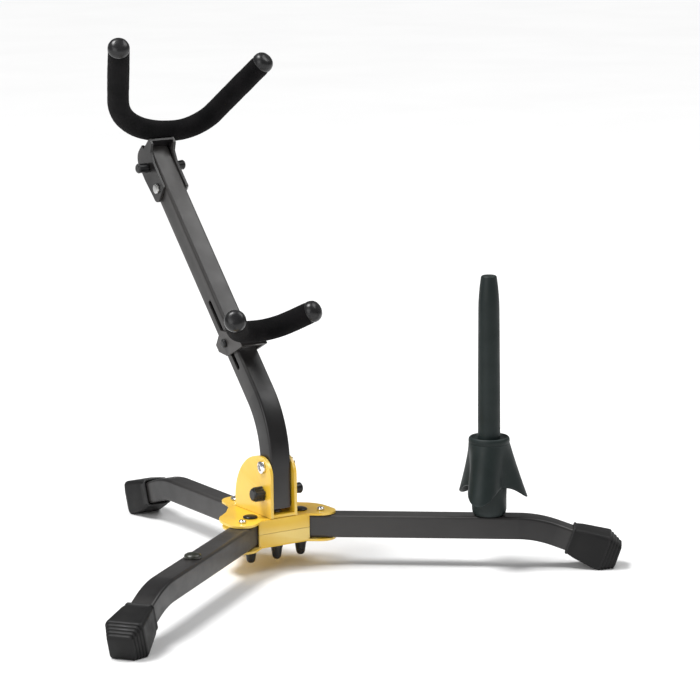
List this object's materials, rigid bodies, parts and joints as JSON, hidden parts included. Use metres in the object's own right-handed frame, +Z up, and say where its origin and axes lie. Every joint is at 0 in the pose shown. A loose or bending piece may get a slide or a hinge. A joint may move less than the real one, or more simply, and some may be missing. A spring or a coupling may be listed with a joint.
{
  "type": "saxophone stand",
  "caption": "Folding floor stand for a saxophone: steel hub, three square-tube legs with rubber boots, hinged upright, two foam yokes and an instrument peg.",
  "frame": {"origin": "on the floor, at the middle of the stand's plan box", "axes": "+Z up; -Y is the side where the instrument rests, +Y along the rear leg, +X towards the leg with the peg"},
  "size_m": [0.4796, 0.4146, 0.4333],
  "materials": {
    "gold_paint": "golden yellow metallic paint, satin gloss",
    "black_paint": "satin black powder coat",
    "foam": "matte black closed-cell foam",
    "rubber": "matte black moulded rubber",
    "black_plastic": "glossy black moulded plastic",
    "peg_plastic": "satin black-green moulded plastic",
    "chrome": "polished chrome",
    "zinc": "bright zinc-plated steel"
  },
  "bodies": {
    "base": {"hub_bottom_plate": "gold_paint", "hub_centre_bolt": "zinc", "hub_centre_nut": "black_plastic", "hub_top_plate": "gold_paint", "leg_pivot_left_bolt": "black_plastic", "leg_pivot_left_nut": "black_plastic", "leg_pivot_right_bolt": "black_plastic", "leg_pivot_right_nut": "black_plastic", "rear_leg_boot": "rubber", "rear_leg_inner_bolt": "zinc", "rear_leg_inner_nut": "zinc", "rear_leg_outer_bolt": "zinc", "rear_leg_outer_nut": "zinc", "rear_leg_tube": "black_paint", "upright_bracket": "gold_paint", "upright_pivot_bolt": "chrome", "upright_pivot_bolt_nut": "zinc"},
    "right_leg": {"right_leg_boot": "rubber", "right_leg_peg_socket": "zinc", "right_leg_tube": "black_paint"},
    "left_leg": {"left_leg_boot": "rubber", "left_leg_peg_socket": "zinc", "left_leg_tube": "black_paint"},
    "right_plunger": {"right_leg_lock_plunger": "chrome"},
    "left_plunger": {"left_leg_lock_plunger": "chrome"},
    "upright": {"carrier_pin": "zinc", "carrier_pin_nut": "zinc", "upright_foot_plug": "black_plastic", "upright_pivot_bush": "zinc", "upright_top_plug": "black_plastic", "upright_tube": "black_paint"},
    "upright_lock_left": {"upright_lock_left": "black_plastic"},
    "upright_lock_right": {"upright_lock_right": "black_plastic"},
    "upper_yoke": {"upper_yoke_carrier": "black_paint", "upper_yoke_foam": "foam", "upper_yoke_left_cap": "black_plastic", "upper_yoke_right_cap": "black_plastic", "upper_yoke_rod": "black_paint"},
    "latch_left": {"carrier_latch_left": "black_plastic"},
    "latch_right": {"carrier_latch_right": "black_plastic"},
    "lower_yoke": {"clamp_bolt": "black_plastic", "clamp_bolt_nut": "black_plastic", "lower_yoke_bracket": "black_paint", "lower_yoke_foam": "foam", "lower_yoke_left_cap": "black_plastic", "lower_yoke_right_cap": "black_plastic", "lower_yoke_rod": "black_paint"},
    "thumbscrew": {"clamp_thumbscrew": "black_plastic"},
    "peg": {"peg_collar": "peg_plastic", "peg_shaft": "peg_plastic", "peg_stud": "zinc"},
    "plug": {"left_leg_plug": "rubber"}
  },
  "joints": [
    {"name": "right_leg_swing", "type": "hinge", "parent": "base", "child": "right_leg", "pos_m": [0.024, -0.03691, 0.03281], "axis": [0, 0, 1], "range_deg": [0, 124]},
    {"name": "left_leg_swing", "type": "hinge", "parent": "base", "child": "left_leg", "pos_m": [-0.024, -0.03691, 0.03281], "axis": [0, 0, 1], "range_deg": [-124, 0]},
    {"name": "right_plunger_lift", "type": "slide", "parent": "base", "child": "right_plunger", "axis": [0, 0, 1], "range_m": [0, 0.0025], "stiffness_N_per_m": 600},
    {"name": "left_plunger_lift", "type": "slide", "parent": "base", "child": "left_plunger", "axis": [0, 0, 1], "range_m": [0, 0.0025], "stiffness_N_per_m": 600},
    {"name": "upright_fold", "type": "hinge", "parent": "base", "child": "upright", "pos_m": [0, -0.03831, 0.08581], "axis": [1, 0, 0], "range_deg": [-47, 0]},
    {"name": "upright_lock_left_pull", "type": "slide", "parent": "base", "child": "upright_lock_left", "axis": [-1, 0, 0], "range_m": [0, 0.004], "stiffness_N_per_m": 600},
    {"name": "upright_lock_right_pull", "type": "slide", "parent": "base", "child": "upright_lock_right", "axis": [1, 0, 0], "range_m": [0, 0.004], "stiffness_N_per_m": 600},
    {"name": "upper_yoke_fold", "type": "hinge", "parent": "upright", "child": "upper_yoke", "pos_m": [0, 0.12912, 0.29765], "axis": [1, 0, 0], "range_deg": [0, 90]},
    {"name": "latch_left_pull", "type": "slide", "parent": "upper_yoke", "child": "latch_left", "axis": [-1, 0, 0], "range_m": [0, 0.003], "stiffness_N_per_m": 500},
    {"name": "latch_right_pull", "type": "slide", "parent": "upper_yoke", "child": "latch_right", "axis": [1, 0, 0], "range_m": [0, 0.003], "stiffness_N_per_m": 500},
    {"name": "lower_yoke_slide", "type": "slide", "parent": "upright", "child": "lower_yoke", "axis": [0, 0.682, 0.7314], "range_m": [-0.022, 0.038]},
    {"name": "thumbscrew_turn", "type": "hinge", "parent": "lower_yoke", "child": "thumbscrew", "pos_m": [0, 0.02205, 0.18283], "axis": [0, 0.7314, -0.682], "continuous": true},
    {"name": "peg_turn", "type": "hinge", "parent": "right_leg", "child": "peg", "pos_m": [0.14776, -0.13292, 0.0426], "axis": [0, 0, 1], "continuous": true},
    {"name": "plug_pull", "type": "slide", "parent": "left_leg", "child": "plug", "axis": [0, 0, 1], "range_m": [0, 0.012]}
  ]
}
